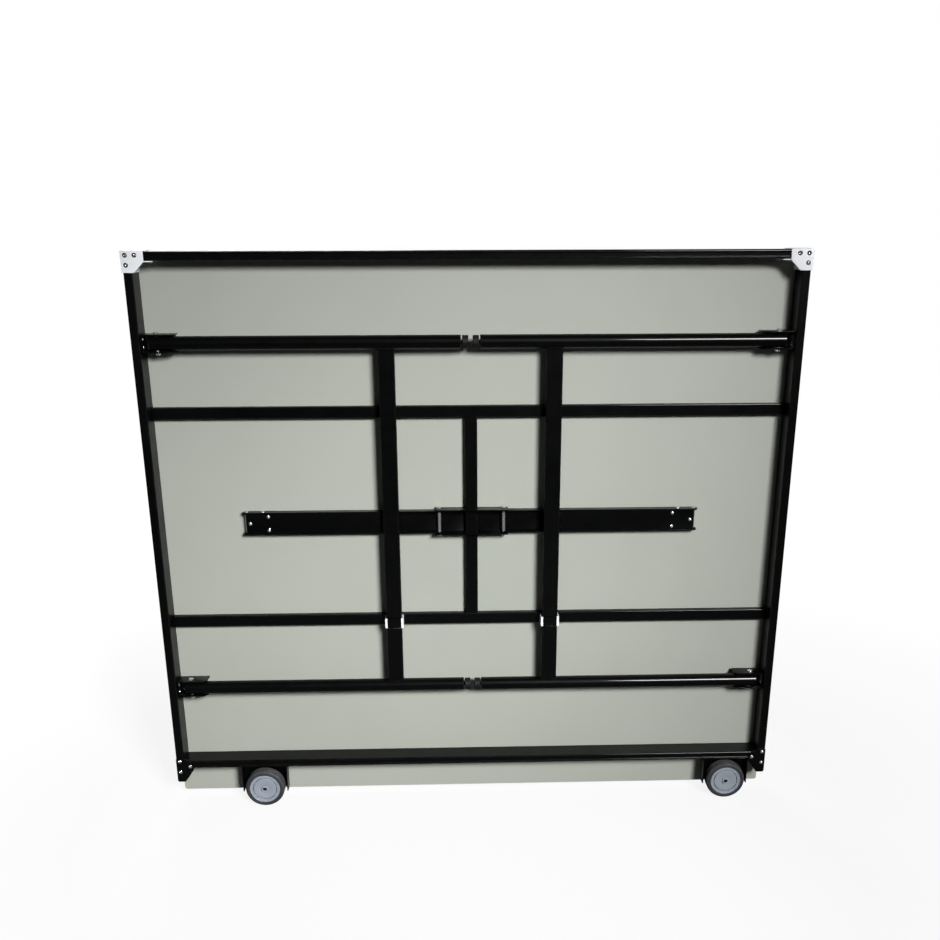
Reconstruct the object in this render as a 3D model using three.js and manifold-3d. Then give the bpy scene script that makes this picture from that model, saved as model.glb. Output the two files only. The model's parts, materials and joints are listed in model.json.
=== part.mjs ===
// One half of a folding ping pong table, standing on its net side with its legs folded flat.
// Millimetres. X runs across the table, +Z up, and the underside of the board faces -Y.

import * as THREE from 'three';
import { mergeVertices } from 'three/addons/utils/BufferGeometryUtils.js';
import Module from 'manifold-3d';

const wasm = await Module();
wasm.setup();

// Gaps
const seam = 0.3; // between two pieces that touch
const swing = 1.3; // between a turning link and the cheek beside it
const over = 1; // how far a cutter runs past the face it cuts

// Board
const boardWidth = 1525;
const boardLength = 1370;
const boardThickness = 18;
const boardCorner = 6;

// Rails around the board. Depths are counted from the underside, towards the viewer
const railFace = 20;
const railDepth = 50;
const railWall = 1.5;
const railBend = 2.5;
const grooveWidth = 8;
const grooveDepth = 1.6;
const sideRailTail = 38; // how far the side rails run on past the net rail

// Rails across the underside
const crossFace = 28;
const crossDepth = 16;
const crossWall = 1.5;
const lowerCrossInset = 484; // from the net edge of the board
const upperCrossInset = 364; // from the player's end of the board
const spineFace = 30;

// Folding leg frames
const legRadius = 16;
const legWall = 1.5;
const lowerLegInset = 312; // from the net edge of the board
const upperLegInset = 200; // from the player's end of the board
const hingeInset = 53.5; // from the side of the board to the hinge bolts
const legTail = 14; // tube past the hinge bolt
const barOffset = 193; // centre of the cross bar from the middle of the table
const barWidth = 38;
const barDepth = 18;
const barWall = 1.5;

// Levelling feet
const footGap = 10; // between the two facing feet when the legs are folded
const padThickness = 14;
const padRadius = 15;
const padRim = 1.5;
const footNeck = 4.5;
const studRadius = 4;
const studLength = 34;
const plugLength = 22;
const plugCollar = 1.2;

// Folding braces
const bracketPivot = 78; // brace pivots on the centre bracket, from the middle of the table
const braceDrop = 3; // below the middle of the legs
const linkHeight = 55;
const linkWall = 2;
const upperLinkHalfDepth = 9.5;
const lowerLinkHalfDepth = 8.5;
const nestGap = 0.5;
const linkBehind = 1.2; // between the centre bracket and the links
const linkAhead = 1.5; // between the links and the cross bars
const pinRadius = 4;
const lowerWebInset = 24;
const lugRadius = 8;
const lugWall = 2.5;

// Centre bracket
const bracketEnd = 11; // past the brace pivots
const bracketDepth = 30;
const bracketFlange = 2.5;
const bracketWeb = 2;

// Knee
const kneeBlockLength = 56;
const kneeBlockDepth = 13;
const kneeBlockInset = 5;

// Hinge brackets
const hingeWall = 3;
const hingePlay = 1.5; // between the ears and the leg
const hingeReach = 74;
const hingeBehind = 25; // ears behind the middle of the leg
const hingeAhead = 11; // and in front of it
const hingeChamfer = 9;

// Snap clips
const clipWall = 3;
const clipHeight = 25;
const clipLip = 2.5;
const clipLipRun = 5;
const clipPlay = 0.5;

// Corners
const guardWall = 2;
const guardWidth = 47.5;
const guardHeight = 45;
const guardCut = 23;
const guardReturn = 18;
const plateWall = 2.5;
const plateOutline = [ [ 0, 28 ], [ 21, 28 ], [ 41, 17 ], [ 46, 2 ], [ 42, - 6 ], [ 20, - 38 ], [ 0, - 38 ] ];

// Wheels
const wheelRadius = 50;
const wheelWidth = 30;
const leftWheelInset = 222.5; // from the side of the board
const rightWheelInset = 100.5;
const wheelAxleHeight = 32; // above the net edge of the board
const wheelHeadroom = 10; // below the net rail
const wheelProud = 10; // in front of the rails
const tyreThickness = 11;
const tyreShoulder = 7;
const hubDish = 3;
const hubRim = 5;
const hubLip = 1;
const axleRadius = 5;
const axleHead = 8;
const axleHeadHeight = 4;
const axleNutHeight = 6;
const wheelBracketWall = 2.5;
const wheelBracketSide = 8; // beside the wheel
const wheelBracketTail = 13; // below the axle
const wheelBracketBehind = 8; // back of the wheel to the back of its bracket
const wheelBracketShort = 2; // how far the cheeks stop short of the front of the rails

// Fasteners
const boltRadius = 4;
const boltHead = 6.5;
const boltHeadHeight = 4.5;
const nutHeight = 5;
const boltTail = 1.5; // thread past the nut

const round = 32; // sides of a large round piece
const small = 16; // sides of a fastener
const hexagon = 6;
const wheelSides = 48;
const shoulderSteps = 4;
const cornerSteps = 4;
const leastBend = 0.5;
const weld = 1e-4;

// Places worked out from the sizes above
const netEdge = wheelRadius - wheelAxleHeight;
const boardTop = netEdge + boardLength;
const halfWidth = boardWidth / 2;
const railInner = halfWidth - railFace;
const netRailHeight = wheelRadius + wheelRadius + wheelHeadroom; // lower edge of the net rail
const wheelFront = railDepth + wheelProud;
const underside = ( wheelFront - hubDish + axleHeadHeight - boardThickness ) / 2;
const legTop = boardTop - upperLegInset;
const legBottom = netEdge + lowerLegInset;
const braceHeight = ( legTop + legBottom ) / 2 - braceDrop;
const pivotDepth = seam + bracketWeb + linkBehind + upperLinkHalfDepth;
const legAxisDepth = pivotDepth + upperLinkHalfDepth + linkAhead + barDepth / 2;
const hingeX = halfWidth - hingeInset;
const legEnd = footGap / 2 + padThickness + footNeck;
const upperHalf = linkHeight / 2;
const lowerHalf = upperHalf - linkWall - nestGap;
const lugHalf = lowerHalf - linkWall - nestGap;

// The brace folds onto itself when the leg is folded and is straight when the leg stands square
const foldedSpan = barOffset - bracketPivot;
const lugAhead = legAxisDepth - pivotDepth;
const openAcross = hingeX - bracketPivot - lugAhead;
const openDown = hingeX - barOffset + lugAhead;
const openSpan = Math.hypot( openAcross, openDown );
const upperLength = ( openSpan + foldedSpan ) / 2;
const kneeX = bracketPivot + upperLength;

const depthY = ( depth ) => underside - depth;
const hands = [ [ 'left', - 1 ], [ 'right', 1 ] ];
const legLevels = [ [ 'upper', legTop ], [ 'lower', legBottom ] ];

const finishes = {
	boardPaint: new THREE.MeshStandardMaterial( { color: 0xb9bcb0, roughness: 0.55, metalness: 0 } ),
	blackSteel: new THREE.MeshStandardMaterial( { color: 0x101211, roughness: 0.4, metalness: 0.3 } ),
	zinc: new THREE.MeshStandardMaterial( { color: 0xb8bcc0, roughness: 0.35, metalness: 0.9 } ),
	whitePlastic: new THREE.MeshStandardMaterial( { color: 0xf2f4f5, roughness: 0.45, metalness: 0 } ),
	blackPlastic: new THREE.MeshStandardMaterial( { color: 0x151616, roughness: 0.6, metalness: 0 } ),
	greyPlastic: new THREE.MeshStandardMaterial( { color: 0x9298a4, roughness: 0.5, metalness: 0 } ),
	tyreRubber: new THREE.MeshStandardMaterial( { color: 0x2b2d31, roughness: 0.8, metalness: 0 } )
};

const table = new THREE.Group();

function add( name, geometry, finish ) {

	const piece = new THREE.Mesh( geometry, finish );
	piece.name = name;
	table.add( piece );

}

// Solids: welded meshes that can be cut and joined

function solidOf( geometry ) {

	const bare = geometry.clone();
	bare.deleteAttribute( 'normal' );
	bare.deleteAttribute( 'uv' );
	const welded = mergeVertices( bare, weld );
	const corners = welded.index.array;
	const kept = [];
	for ( let i = 0; i < corners.length; i += 3 ) {

		const [ a, b, c ] = [ corners[ i ], corners[ i + 1 ], corners[ i + 2 ] ];
		if ( a !== b && b !== c && c !== a ) kept.push( a, b, c );

	}

	return new wasm.Manifold( new wasm.Mesh( {
		numProp: 3,
		vertProperties: Float32Array.from( welded.attributes.position.array ),
		triVerts: Uint32Array.from( kept )
	} ) );

}

function geometryOf( solid ) {

	const mesh = solid.getMesh();
	const geometry = new THREE.BufferGeometry();
	geometry.setAttribute( 'position', new THREE.BufferAttribute( mesh.vertProperties, 3 ) );
	geometry.setIndex( new THREE.BufferAttribute( mesh.triVerts, 1 ) );
	const faceted = geometry.toNonIndexed();
	faceted.computeVertexNormals();
	return faceted;

}

const joined = ( solids ) => solids.reduce( ( sum, solid ) => sum.add( solid ) );
const cut = ( solid, holes ) => holes.reduce( ( rest, hole ) => rest.subtract( hole ), solid );

// A block between two corners
function block( [ x0, x1 ], [ y0, y1 ], [ z0, z1 ] ) {

	const geometry = new THREE.BoxGeometry( Math.abs( x1 - x0 ), Math.abs( y1 - y0 ), Math.abs( z1 - z0 ) );
	geometry.translate( ( x0 + x1 ) / 2, ( y0 + y1 ) / 2, ( z0 + z1 ) / 2 );
	return solidOf( geometry );

}

// A rod along a named axis, from one end to the other
function rod( axis, centre, [ from, to ], radius, sides = small ) {

	const geometry = new THREE.CylinderGeometry( radius, radius, Math.abs( to - from ), sides );
	if ( axis === 'x' ) geometry.rotateZ( Math.PI / 2 );
	if ( axis === 'z' ) geometry.rotateX( Math.PI / 2 );
	const place = new THREE.Vector3( ...centre );
	place[ axis ] = ( from + to ) / 2;
	geometry.translate( place.x, place.y, place.z );
	return solidOf( geometry );

}

const outline = ( points ) => new THREE.Shape( points.map( ( [ x, y ] ) => new THREE.Vector2( x, y ) ) );

function extruded( shape, length ) {

	const settings = { depth: length, bevelEnabled: false, curveSegments: cornerSteps };
	return new THREE.ExtrudeGeometry( shape, settings );

}

// A flat outline in X and Z, given thickness from a depth towards the viewer
function facingPlate( shape, depth, thickness ) {

	const geometry = extruded( shape, thickness );
	geometry.rotateX( Math.PI / 2 );
	geometry.translate( 0, depthY( depth ), 0 );
	return solidOf( geometry );

}

// A flat outline in X and Y, between two heights
function levelPlate( shape, [ low, high ] ) {

	const geometry = extruded( shape, high - low );
	geometry.translate( 0, 0, low );
	return solidOf( geometry );

}

// A rectangle with rounded corners, about a centre
function roundedRect( width, height, radius, path = new THREE.Shape() ) {

	const [ w, h ] = [ width / 2, height / 2 ];
	path.moveTo( - w + radius, - h );
	path.lineTo( w - radius, - h );
	path.absarc( w - radius, - h + radius, radius, - Math.PI / 2, 0 );
	path.lineTo( w, h - radius );
	path.absarc( w - radius, h - radius, radius, 0, Math.PI / 2 );
	path.lineTo( - w + radius, h );
	path.absarc( - w + radius, h - radius, radius, Math.PI / 2, Math.PI );
	path.lineTo( - w, - h + radius );
	path.absarc( - w + radius, - h + radius, radius, Math.PI, 1.5 * Math.PI );
	return path;

}

// Hollow section of a rail: face along the first axis, depth along the second
function boxSection( face, depth, wall, bend ) {

	const section = roundedRect( face, depth, bend );
	const inside = Math.max( bend - wall, leastBend );
	section.holes.push( roundedRect( face - 2 * wall, depth - 2 * wall, inside, new THREE.Path() ) );
	return section;

}

// The same section with a rolled groove along one side
function groovedSection() {

	const [ w, h ] = [ railFace / 2, railDepth / 2 ];
	const [ inner, rise ] = [ grooveWidth / 2, grooveDepth ];
	const section = new THREE.Shape();
	section.moveTo( - w + railBend, - h );
	section.lineTo( w - railBend, - h );
	section.absarc( w - railBend, - h + railBend, railBend, - Math.PI / 2, 0 );
	section.lineTo( w, - inner - rise );
	section.lineTo( w - rise, - inner );
	section.lineTo( w - rise, inner );
	section.lineTo( w, inner + rise );
	section.lineTo( w, h - railBend );
	section.absarc( w - railBend, h - railBend, railBend, 0, Math.PI / 2 );
	section.lineTo( - w + railBend, h );
	section.absarc( - w + railBend, h - railBend, railBend, Math.PI / 2, Math.PI );
	section.lineTo( - w, - h + railBend );
	section.absarc( - w + railBend, - h + railBend, railBend, Math.PI, 1.5 * Math.PI );
	const [ wi, hi ] = [ w - railWall, h - railWall ];
	const hollow = new THREE.Path();
	hollow.moveTo( - wi, - hi );
	hollow.lineTo( wi - grooveDepth, - hi );
	hollow.lineTo( wi - grooveDepth, hi );
	hollow.lineTo( - wi, hi );
	hollow.closePath();
	section.holes.push( hollow );
	return section;

}

// A section swept up, from one height to another; its second axis runs with Y
function upright( section, x, depth, [ low, high ] ) {

	const geometry = extruded( section, high - low );
	geometry.translate( x, depthY( depth ), low );
	return solidOf( geometry );

}

// A section swept across; its first axis runs down, its second with Y
function crosswise( section, [ from, to ], depth, z ) {

	const geometry = extruded( section, to - from );
	geometry.rotateY( Math.PI / 2 );
	geometry.translate( from, depthY( depth ), z );
	return solidOf( geometry );

}

// Bolt down through a hinge, with its nut run up under the lower cheek
function uprightBolt( x, depth, z, cheekHalf ) {

	const at = [ x, depthY( depth ), 0 ];
	const [ low, high ] = [ z - cheekHalf - seam, z + cheekHalf + seam ];
	return joined( [
		rod( 'z', at, [ low - nutHeight - boltTail, high ], boltRadius ),
		rod( 'z', at, [ high, high + boltHeadHeight ], boltHead, hexagon ),
		rod( 'z', at, [ low - nutHeight, low ], boltHead, hexagon )
	] );

}

// Board

function playingBoard() {

	const shape = roundedRect( boardWidth, boardLength, boardCorner );
	const geometry = extruded( shape, boardThickness );
	geometry.rotateX( Math.PI / 2 );
	geometry.translate( 0, underside + boardThickness, netEdge + boardLength / 2 );
	add( 'playing_board', geometryOf( solidOf( geometry ) ), finishes.boardPaint );

}

// Frame

function frameRails() {

	const middle = seam + railDepth / 2;
	const span = [ - railInner + seam, railInner - seam ];
	const endRail = crosswise( groovedSection(), span, middle, boardTop - railFace / 2 );
	add( 'end_rail', geometryOf( endRail ), finishes.blackSteel );
	const netRail = crosswise( groovedSection(), span, middle, netRailHeight + railFace / 2 );
	add( 'net_rail', geometryOf( netRail ), finishes.blackSteel );

	for ( const [ name, side ] of hands ) {

		const section = boxSection( railFace, railDepth, railWall, railBend );
		const x = side * ( halfWidth - railFace / 2 );
		const rail = upright( section, x, middle, [ netRailHeight - sideRailTail, boardTop ] );
		add( `${ name }_side_rail`, geometryOf( rail ), finishes.blackSteel );

	}

}

function crossRails() {

	const section = boxSection( crossFace, crossDepth, crossWall, railBend );
	const span = [ - railInner + seam, railInner - seam ];
	const middle = seam + crossDepth / 2;
	const heights = { lower: netEdge + lowerCrossInset, upper: boardTop - upperCrossInset };
	for ( const [ name, z ] of Object.entries( heights ) ) {

		add( `${ name }_cross_rail`, geometryOf( crosswise( section, span, middle, z ) ), finishes.blackSteel );

	}

	const reach = crossFace / 2 + seam;
	const spineSection = boxSection( spineFace, crossDepth, crossWall, railBend );
	const spine = upright( spineSection, 0, middle, [ heights.lower + reach, heights.upper - reach ] );
	add( 'centre_spine', geometryOf( spine ), finishes.blackSteel );

}

// Bracket in the middle of the spine, notched so that the spine passes through it
function braceBracket() {

	const half = upperHalf + swing + bracketFlange;
	const reach = bracketPivot + bracketEnd;
	const across = [ - reach, reach ];
	const through = [ braceHeight - half - over, braceHeight + half + over ];
	const flange = ( low ) => block( across, [ depthY( seam ), depthY( bracketDepth ) ],
		[ braceHeight + low, braceHeight + low + bracketFlange ] );
	const web = block( across, [ depthY( seam ), depthY( seam + bracketWeb ) ],
		[ braceHeight - half, braceHeight + half ] );
	const notchHalf = spineFace / 2 + seam;
	const notchDepths = [ depthY( - over ), depthY( crossDepth + 2 * seam ) ];
	const notch = block( [ - notchHalf, notchHalf ], notchDepths, through );
	const holes = [ - 1, 1 ].map( ( side ) =>
		rod( 'z', [ side * bracketPivot, depthY( pivotDepth ), 0 ], through, boltRadius + seam ) );
	const body = joined( [ flange( - half ), flange( half - bracketFlange ), web ] );
	add( 'brace_bracket', geometryOf( cut( body, [ notch, ...holes ] ) ), finishes.blackSteel );

	for ( const [ name, side ] of hands ) {

		const bolt = uprightBolt( side * bracketPivot, pivotDepth, braceHeight, half );
		add( `${ name }_brace_pivot_bolt`, geometryOf( bolt ), finishes.zinc );

	}

}

// Corners

function cornerGuard( side ) {

	const outer = halfWidth + seam + guardWall;
	const top = boardTop + seam + guardWall;
	const inner = halfWidth - guardWidth;
	const low = boardTop - guardHeight;
	const front = railDepth + 2 * seam;
	const face = outline( [ [ outer, low ], [ outer, top ], [ inner, top ], [ inner, low + guardCut ],
		[ inner + guardCut, low ] ].map( ( [ x, z ] ) => [ side * x, z ] ) );
	const ys = [ depthY( front + guardWall ), depthY( seam ) ];
	const across = ( a, b ) => [ side * a, side * b ];
	const skirt = railInner - seam;
	const ceiling = boardTop - railFace - seam;
	return joined( [
		facingPlate( face, front, guardWall ),
		block( across( outer - guardWall, outer ), ys, [ low, top ] ),
		block( across( inner, outer ), ys, [ top - guardWall, top ] ),
		block( across( skirt - guardWall, skirt ), ys, [ low, ceiling ] ),
		block( across( inner - guardReturn, skirt ), [ depthY( railDepth ), depthY( seam ) ],
			[ ceiling - guardWall, ceiling ] ),
		block( across( inner, skirt ), ys, [ ceiling - guardWall, ceiling ] )
	] );

}

function corners() {

	for ( const [ name, side ] of hands ) {

		add( `${ name }_corner_guard`, geometryOf( cornerGuard( side ) ), finishes.whitePlastic );
		const points = plateOutline.map( ( [ x, z ] ) => [ side * ( halfWidth - x ), netRailHeight + z ] );
		const plate = facingPlate( outline( points ), railDepth + 2 * seam, plateWall );
		add( `${ name }_net_corner_plate`, geometryOf( plate ), finishes.blackSteel );

	}

}

// Leg hinges

const earHalf = legRadius + hingePlay + hingeWall;

function hingeBracket( side, z ) {

	const root = railInner - seam;
	const tip = root - hingeReach;
	const back = legAxisDepth - hingeBehind;
	const front = legAxisDepth + hingeAhead;
	const corners = [ [ root, back ], [ root, front ], [ tip + hingeChamfer, front ],
		[ tip, front - hingeChamfer ], [ tip, back ] ];
	const shape = outline( corners.map( ( [ x, d ] ) => [ side * x, depthY( d ) ] ) );
	const ears = levelPlate( shape, [ z - earHalf, z + earHalf ] );
	const mouth = block( [ side * ( tip - over ), side * ( root - hingeWall ) ],
		[ depthY( back - over ), depthY( front + over ) ], [ z - earHalf + hingeWall, z + earHalf - hingeWall ] );
	const at = [ side * hingeX, depthY( legAxisDepth ), 0 ];
	const bore = rod( 'z', at, [ z - earHalf - over, z + earHalf + over ], boltRadius + seam );
	return cut( ears, [ mouth, bore ] );

}

function hinges() {

	for ( const [ name, side ] of hands ) {

		for ( const [ level, z ] of legLevels ) {

			add( `${ name }_${ level }_hinge_bracket`, geometryOf( hingeBracket( side, z ) ), finishes.blackSteel );
			const bolt = uprightBolt( side * hingeX, legAxisDepth, z, earHalf );
			add( `${ name }_${ level }_hinge_bolt`, geometryOf( bolt ), finishes.zinc );

		}

	}

}

// Leg frames

function legTube( side, z ) {

	const at = [ 0, depthY( legAxisDepth ), z ];
	const outside = rod( 'x', at, [ side * ( hingeX + legTail ), side * legEnd ], legRadius, round );
	const through = [ side * ( hingeX + legTail + over ), side * ( legEnd - over ) ];
	const inside = rod( 'x', at, through, legRadius - legWall, round );
	const across = [ z - legRadius - over, z + legRadius + over ];
	const bore = rod( 'z', [ side * hingeX, depthY( legAxisDepth ), 0 ], across, boltRadius + seam );
	return cut( outside, [ inside, bore ] );

}

function crossBar( side ) {

	const section = boxSection( barWidth, barDepth, barWall, railBend );
	const bar = upright( section, side * barOffset, legAxisDepth, [ legBottom, legTop ] );
	const ends = [ side * ( barOffset - barWidth ), side * ( barOffset + barWidth ) ];
	const cope = ( z ) => rod( 'x', [ 0, depthY( legAxisDepth ), z ], ends, legRadius + seam, round );
	return cut( bar, [ cope( legBottom ), cope( legTop ) ] );

}

// Lug behind the cross bar: two rounded ears on a base, standing inside the lower link
function braceLug( side ) {

	const x = side * barOffset;
	const at = [ x, depthY( pivotDepth ), 0 ];
	const across = [ x - lugRadius, x + lugRadius ];
	const base = legAxisDepth - barDepth / 2 - seam;
	const [ low, high ] = [ braceHeight - lugHalf, braceHeight + lugHalf ];
	const ear = ( heights ) => joined( [
		rod( 'z', at, heights, lugRadius, round ),
		block( across, [ depthY( pivotDepth ), depthY( base ) ], heights )
	] );
	const foot = block( across, [ depthY( base - lugWall ), depthY( base ) ], [ low, high ] );
	const bore = rod( 'z', at, [ low - over, high + over ], pinRadius + seam );
	return cut( joined( [ ear( [ low, low + lugWall ] ), ear( [ high - lugWall, high ] ), foot ] ), [ bore ] );

}

// Plastic insert in the open end of a leg, bored for the foot's stud
function footPlug( side, z ) {

	const at = [ 0, depthY( legAxisDepth ), z ];
	const stop = legEnd - seam;
	const tip = stop - plugCollar;
	const inner = legEnd + plugLength;
	const sleeve = rod( 'x', at, [ side * stop, side * inner ], legRadius - legWall - seam, round );
	const collar = rod( 'x', at, [ side * stop, side * tip ], legRadius - seam, round );
	const bore = rod( 'x', at, [ side * ( tip - over ), side * ( inner + over ) ], studRadius + seam );
	return cut( joined( [ sleeve, collar ] ), [ bore ] );

}

// Levelling foot: a round pad with a rounded rim, moulded on a threaded stud
function levellingFoot( side, z ) {

	const face = footGap / 2;
	const studEnd = padThickness + studLength;
	const flat = padRadius - padRim;
	const profile = [ [ 0, 0 ], [ flat, 0 ], [ padRadius, padRim ], [ padRadius, padThickness - padRim ],
		[ flat, padThickness ], [ studRadius, padThickness ], [ studRadius, studEnd ], [ 0, studEnd ] ];
	const geometry = new THREE.LatheGeometry( profile.map( ( [ r, h ] ) => new THREE.Vector2( r, h ) ), round );
	geometry.rotateZ( - side * Math.PI / 2 );
	geometry.translate( side * face, depthY( legAxisDepth ), z );
	return solidOf( geometry );

}

function legFrames() {

	for ( const [ name, side ] of hands ) {

		for ( const [ level, z ] of legLevels ) {

			add( `${ name }_${ level }_leg_tube`, geometryOf( legTube( side, z ) ), finishes.blackSteel );
			add( `${ name }_${ level }_foot_plug`, geometryOf( footPlug( side, z ) ), finishes.blackPlastic );
			add( `${ name }_${ level }_foot`, geometryOf( levellingFoot( side, z ) ), finishes.blackPlastic );

		}

		add( `${ name }_leg_cross_bar`, geometryOf( crossBar( side ) ), finishes.blackSteel );
		add( `${ name }_brace_lug`, geometryOf( braceLug( side ) ), finishes.blackSteel );
		add( `${ name }_brace_lug_pin`, geometryOf( flushPin( side * barOffset ) ), finishes.zinc );

	}

}

// Braces

// One flange of a link: a bar with round ends about its two pivots
function linkFlange( [ from, to ], radius, [ low, high ] ) {

	const at = ( x ) => [ x, depthY( pivotDepth ), 0 ];
	const through = [ low - over, high + over ];
	const depths = [ depthY( pivotDepth - radius ), depthY( pivotDepth + radius ) ];
	const ends = [ from, to ].map( ( x ) => rod( 'z', at( x ), [ low, high ], radius, round ) );
	const bar = block( [ from, to ], depths, [ low, high ] );
	const bores = [ from, to ].map( ( x ) => rod( 'z', at( x ), through, pinRadius + seam ) );
	return cut( joined( [ bar, ...ends ] ), bores );

}

const flangePair = ( span, radius, half ) => joined( [ - half, half - linkWall ].map( ( low ) =>
	linkFlange( span, radius, [ braceHeight + low, braceHeight + low + linkWall ] ) ) );

// Upper link: open towards the viewer, with a web from the centre bracket to the end of the folded lower link
function upperLink( side ) {

	const back = pivotDepth - upperLinkHalfDepth;
	const webEnd = barOffset - lowerLinkHalfDepth - nestGap;
	const web = block( [ side * bracketPivot, side * webEnd ],
		[ depthY( back ), depthY( back + linkWall ) ], [ braceHeight - upperHalf, braceHeight + upperHalf ] );
	return flangePair( [ side * bracketPivot, side * kneeX ], upperLinkHalfDepth, upperHalf ).add( web );

}

// Lower link: its web towards the viewer, nested between the flanges of the upper link
function lowerLink( side ) {

	const front = pivotDepth + lowerLinkHalfDepth;
	const web = block( [ side * ( barOffset + lowerWebInset ), side * kneeX ],
		[ depthY( front - linkWall ), depthY( front ) ], [ braceHeight - lowerHalf, braceHeight + lowerHalf ] );
	return flangePair( [ side * barOffset, side * kneeX ], lowerLinkHalfDepth, lowerHalf ).add( web );

}

function kneeBlock( side ) {

	const front = pivotDepth + lowerLinkHalfDepth - linkWall - seam;
	const half = lowerHalf - linkWall - seam;
	const end = kneeX - kneeBlockInset;
	const across = [ side * end, side * ( end - kneeBlockLength ) ];
	const depths = [ depthY( front ), depthY( front - kneeBlockDepth ) ];
	return block( across, depths, [ braceHeight - half, braceHeight + half ] );

}

// Pin through a nested link, flush with the outside of its flanges
function flushPin( x ) {

	const heights = [ braceHeight - lowerHalf, braceHeight + lowerHalf ];
	return rod( 'z', [ x, depthY( pivotDepth ), 0 ], heights, pinRadius );

}

function braces() {

	for ( const [ name, side ] of hands ) {

		add( `${ name }_upper_brace_link`, geometryOf( upperLink( side ) ), finishes.blackSteel );
		add( `${ name }_lower_brace_link`, geometryOf( lowerLink( side ) ), finishes.blackSteel );
		add( `${ name }_knee_block`, geometryOf( kneeBlock( side ) ), finishes.blackPlastic );
		add( `${ name }_knee_pin`, geometryOf( flushPin( side * kneeX ) ), finishes.zinc );

	}

}

// Snap clips that hold the folded cross bars on the lower cross rail

function legClip( side ) {

	const z = netEdge + lowerCrossInset;
	const heights = [ z - clipHeight / 2, z + clipHeight / 2 ];
	const seat = crossDepth + 2 * seam;
	const half = barWidth / 2 + clipPlay;
	const tip = legAxisDepth + barDepth / 2 + clipPlay;
	const x = side * barOffset;
	const out = half + clipWall;
	const between = ( a, b ) => [ depthY( a ), depthY( b ) ];
	const arm = ( sign ) => joined( [
		block( [ x + sign * half, x + sign * out ], between( seat, tip + clipLip ), heights ),
		block( [ x + sign * ( half - clipLipRun ), x + sign * out ], between( tip, tip + clipLip ), heights )
	] );
	const floor = block( [ x - out, x + out ], between( seat, seat + clipWall ), heights );
	return joined( [ arm( - 1 ), arm( 1 ), floor ] );

}

function legClips() {

	for ( const [ name, side ] of hands ) {

		add( `${ name }_leg_clip`, geometryOf( legClip( side ) ), finishes.whitePlastic );

	}

}

// Transport wheels

const wheelBracketBack = wheelFront - wheelWidth - wheelBracketBehind;

function wheelBracket( x ) {

	const top = netRailHeight - seam;
	const heights = [ wheelRadius - wheelBracketTail, top ];
	const half = wheelRadius + wheelBracketSide;
	const across = [ x - half, x + half ];
	const inside = wheelBracketBack + wheelBracketWall;
	const ys = [ depthY( wheelBracketBack ), depthY( railDepth - wheelBracketShort ) ];
	const cheek = ( a ) => block( [ a, a + wheelBracketWall ], ys, heights );
	const back = block( across, [ ys[ 0 ], depthY( inside ) ], heights );
	const lid = block( across, ys, [ top - wheelBracketWall, top ] );
	const bore = rod( 'y', [ x, 0, wheelRadius ], [ depthY( wheelBracketBack - over ), depthY( inside + over ) ],
		axleRadius + seam );
	const body = joined( [ cheek( across[ 0 ] ), cheek( across[ 1 ] - wheelBracketWall ), back, lid ] );
	return cut( body, [ bore ] );

}

function tyreProfile() {

	const inner = wheelRadius - tyreThickness;
	const half = wheelWidth / 2;
	const arc = ( sign ) => Array.from( { length: shoulderSteps + 1 }, ( _, i ) => {

		const angle = i / shoulderSteps * Math.PI / 2;
		return [ wheelRadius - tyreShoulder + tyreShoulder * Math.sin( angle ),
			sign * ( half - tyreShoulder + tyreShoulder * Math.cos( angle ) ) ];

	} );
	const ring = [ [ inner, half ], ...arc( 1 ), ...arc( - 1 ).reverse(), [ inner, - half ], [ inner, half ] ];
	return ring.map( ( [ r, h ] ) => new THREE.Vector2( r, h ) ).reverse();

}

function hubProfile() {

	const outer = wheelRadius - tyreThickness - seam;
	const face = wheelWidth / 2 - hubDish;
	const edge = wheelWidth / 2 - hubLip;
	const inner = outer - hubRim;
	const bore = axleRadius + seam;
	const ring = [ [ bore, face ], [ inner, face ], [ inner + hubLip, edge ], [ outer, edge ], [ outer, - edge ],
		[ inner + hubLip, - edge ], [ inner, - face ], [ bore, - face ], [ bore, face ] ];
	return ring.map( ( [ r, h ] ) => new THREE.Vector2( r, h ) ).reverse();

}

function turned( profile, x ) {

	const geometry = new THREE.LatheGeometry( profile, wheelSides );
	geometry.translate( x, depthY( wheelFront - wheelWidth / 2 ), wheelRadius );
	return solidOf( geometry );

}

function axleBolt( x ) {

	const at = [ x, 0, wheelRadius ];
	const hubFace = wheelFront - hubDish + seam;
	const backFace = wheelBracketBack - seam;
	return joined( [
		rod( 'y', at, [ depthY( hubFace ), depthY( hubFace + axleHeadHeight - seam ) ], axleHead ),
		rod( 'y', at, [ depthY( hubFace + weld ), depthY( backFace - axleNutHeight - boltTail ) ], axleRadius ),
		rod( 'y', at, [ depthY( backFace ), depthY( backFace - axleNutHeight ) ], axleHead, hexagon )
	] );

}

function wheels() {

	const centres = { left: leftWheelInset - halfWidth, right: halfWidth - rightWheelInset };
	for ( const [ name, x ] of Object.entries( centres ) ) {

		add( `${ name }_wheel_bracket`, geometryOf( wheelBracket( x ) ), finishes.blackSteel );
		add( `${ name }_wheel_tyre`, geometryOf( turned( tyreProfile(), x ) ), finishes.tyreRubber );
		add( `${ name }_wheel_hub`, geometryOf( turned( hubProfile(), x ) ), finishes.greyPlastic );
		add( `${ name }_wheel_axle_bolt`, geometryOf( axleBolt( x ) ), finishes.zinc );

	}

}

playingBoard();
frameRails();
crossRails();
braceBracket();
corners();
hinges();
legFrames();
braces();
legClips();
wheels();

export default table;
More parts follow.
